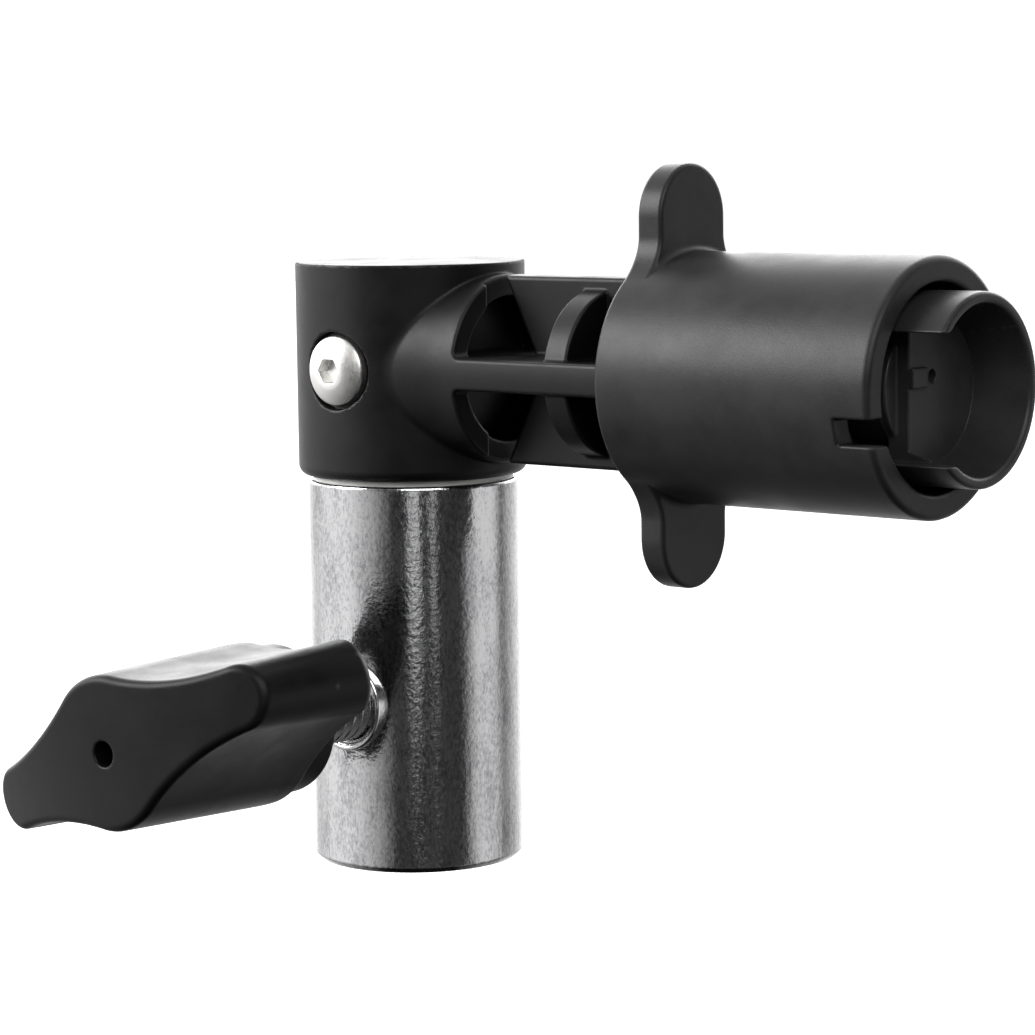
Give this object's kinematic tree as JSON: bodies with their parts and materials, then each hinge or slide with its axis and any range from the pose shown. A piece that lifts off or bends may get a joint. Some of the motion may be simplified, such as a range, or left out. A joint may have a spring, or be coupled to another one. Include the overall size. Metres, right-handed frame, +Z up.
{
  "type": "light stand swivel bracket",
  "caption": "Swivel bracket for a light stand: plated spigot socket with a wing clamp screw, turning head, and an arm with a spring-loaded eared grip sleeve over a notched jaw cup.",
  "frame": {"origin": "centre of the stand socket's mouth", "axes": "+Z up along the socket, +X along the arm towards the jaw cup, -Y towards the wing knob of the clamp screw"},
  "size_m": [0.0942, 0.0615, 0.077],
  "materials": {
    "plated_tube": "bright plating over drawn tube, faintly mottled",
    "plated_boss": "bright plating",
    "turned_steel": "turned and lightly oiled",
    "nylon": "natural nylon",
    "brass": "turned brass",
    "zinc_steel": "bright zinc plate",
    "knob_plastic": "black moulded plastic, fine spark texture",
    "head_plastic": "black moulded plastic, fine spark texture",
    "nickel_screw": "nickel plate",
    "spring_steel": "drawn spring wire",
    "sleeve_plastic": "black moulded plastic, satin",
    "cup_plastic": "black moulded plastic, satin"
  },
  "bodies": {
    "socket": {"socket_tube": "plated_tube", "swivel_stem": "turned_steel", "thrust_washer": "nylon", "clamp_boss": "plated_boss"},
    "screw_tip": {"pressure_pad": "brass"},
    "clamp_knob": {"clamp_screw": "zinc_steel", "tee_knob": "knob_plastic"},
    "head": {"elbow_body": "head_plastic", "retaining_screws": "nickel_screw", "guide_rod": "turned_steel", "compression_spring": "spring_steel", "jaw_cup": "cup_plastic", "cup_pin": "turned_steel"},
    "grip": {"grip_sleeve": "sleeve_plastic", "spring_washer": "zinc_steel"}
  },
  "joints": [
    {"name": "head_swivel", "type": "hinge", "parent": "socket", "child": "head", "pos_m": [0, 0, 0.055], "axis": [0, 0, 1], "continuous": true},
    {"name": "grip_slide", "type": "slide", "parent": "head", "child": "grip", "axis": [-1, 0, 0], "range_m": [0, 0.011], "stiffness_N_per_m": 470, "springref_m": -0.006, "deforming": ["compression_spring"]},
    {"name": "screw_travel", "type": "slide", "parent": "socket", "child": "screw_tip", "axis": [0, 1, 0], "range_m": [-0.00125, 0.005]},
    {"name": "knob_turn", "type": "hinge", "parent": "screw_tip", "child": "clamp_knob", "pos_m": [0, -0.03, 0.0185], "axis": [0, 1, 0], "range_deg": [-366, 1446]}
  ],
  "couplings": [
    {"joint": "knob_turn", "follows": "screw_travel", "rad_per_m": 5026.5}
  ]
}
